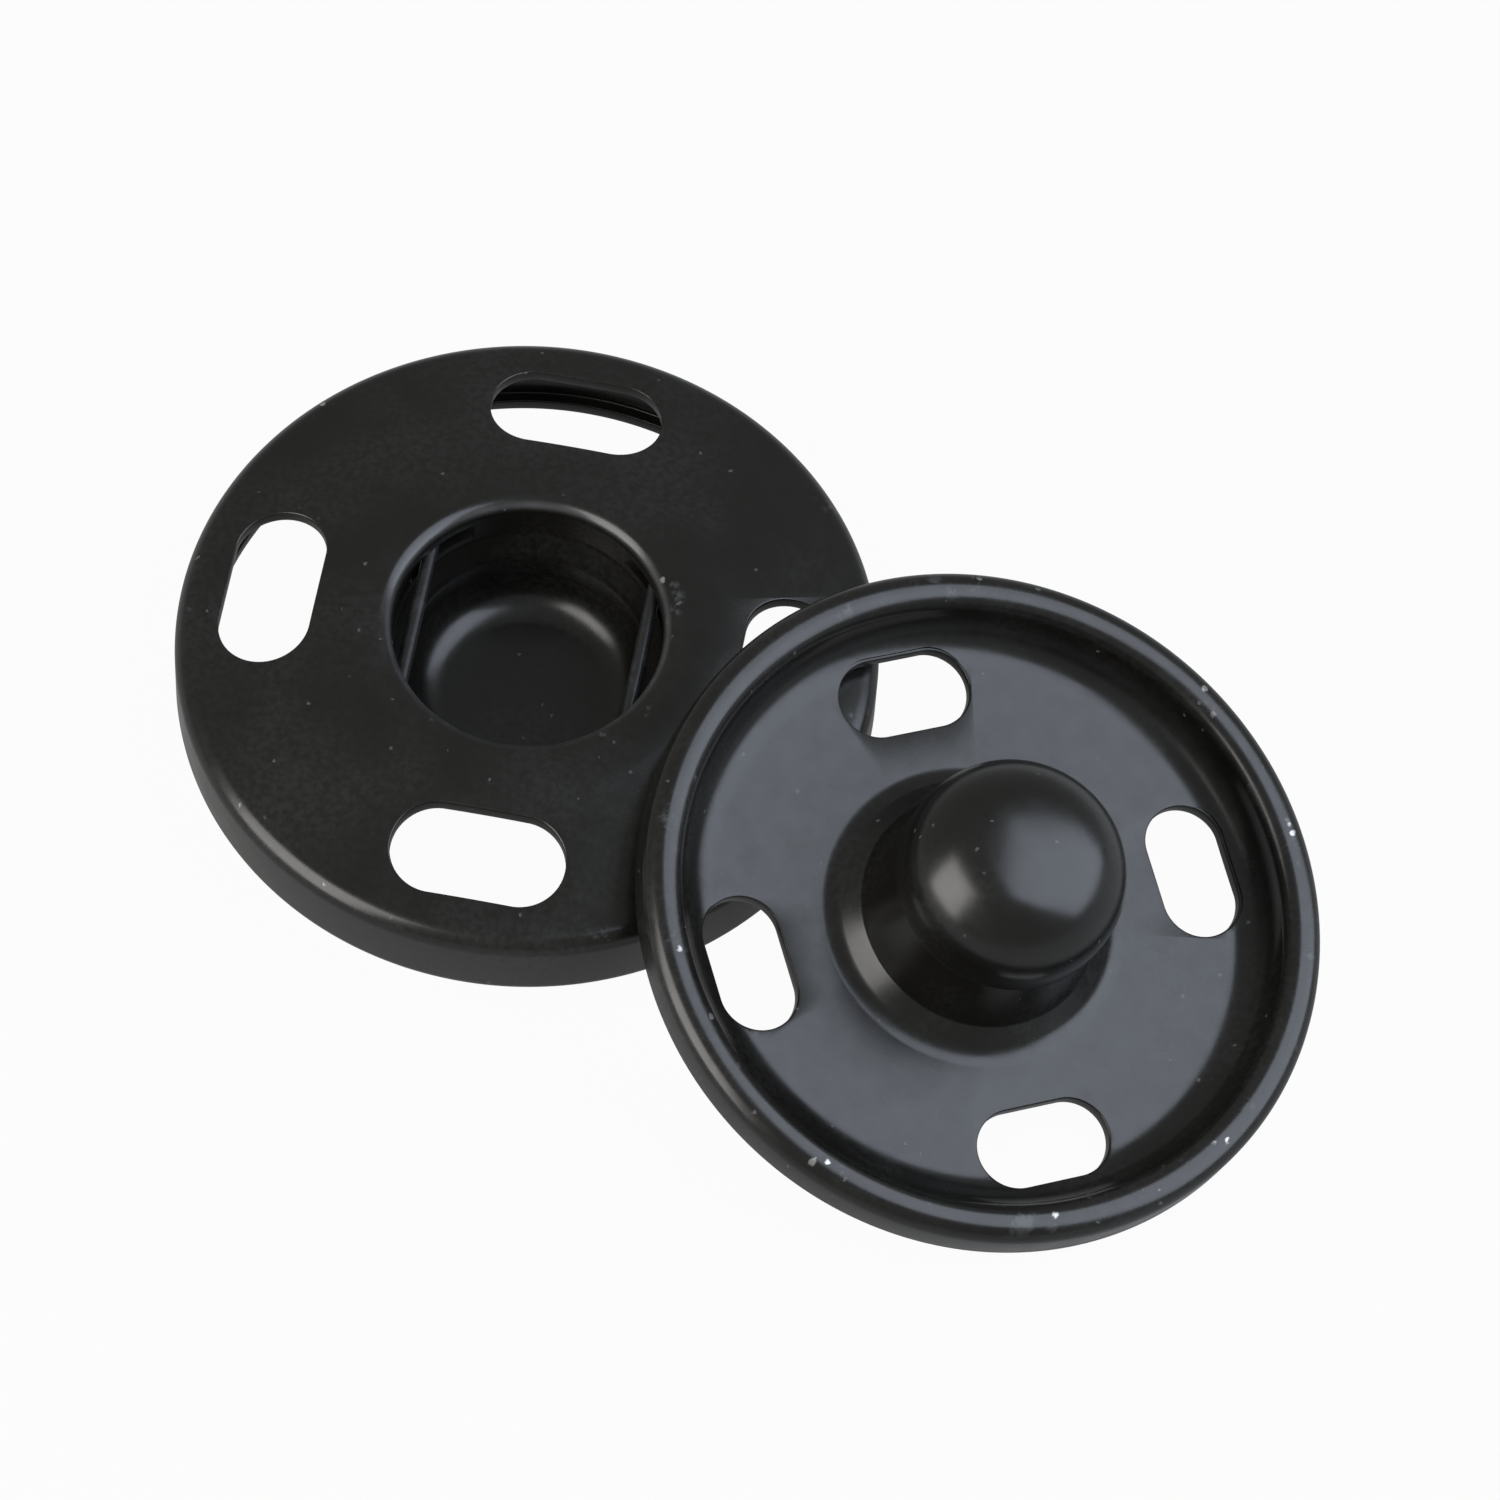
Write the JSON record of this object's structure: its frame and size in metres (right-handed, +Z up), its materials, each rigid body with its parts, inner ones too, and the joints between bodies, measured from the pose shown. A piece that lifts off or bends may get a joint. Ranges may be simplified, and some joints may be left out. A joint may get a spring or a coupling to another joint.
{
  "type": "snap fastener",
  "caption": "Sew-on snap fastener in black metal: a round socket half with a spring wire in its cup, and a ball stud half leaning on its rim.",
  "frame": {"origin": "centre of the flat underside of the socket half's cup, on the surface that both halves lie on", "axes": "+Z up along the cup's axis, +X from the socket half's axis towards the stud half, +Y completes the right-handed frame"},
  "size_m": [0.0209, 0.012, 0.0053],
  "materials": {
    "black_paint": "semi-gloss black paint, fine wear along the rims",
    "spring_steel": "blackened spring wire, worn bright where the ball rubs"
  },
  "bodies": {
    "root": {"socket_half": "black_paint", "spring_wire": "spring_steel", "stud_half": "black_paint"}
  },
  "joints": []
}
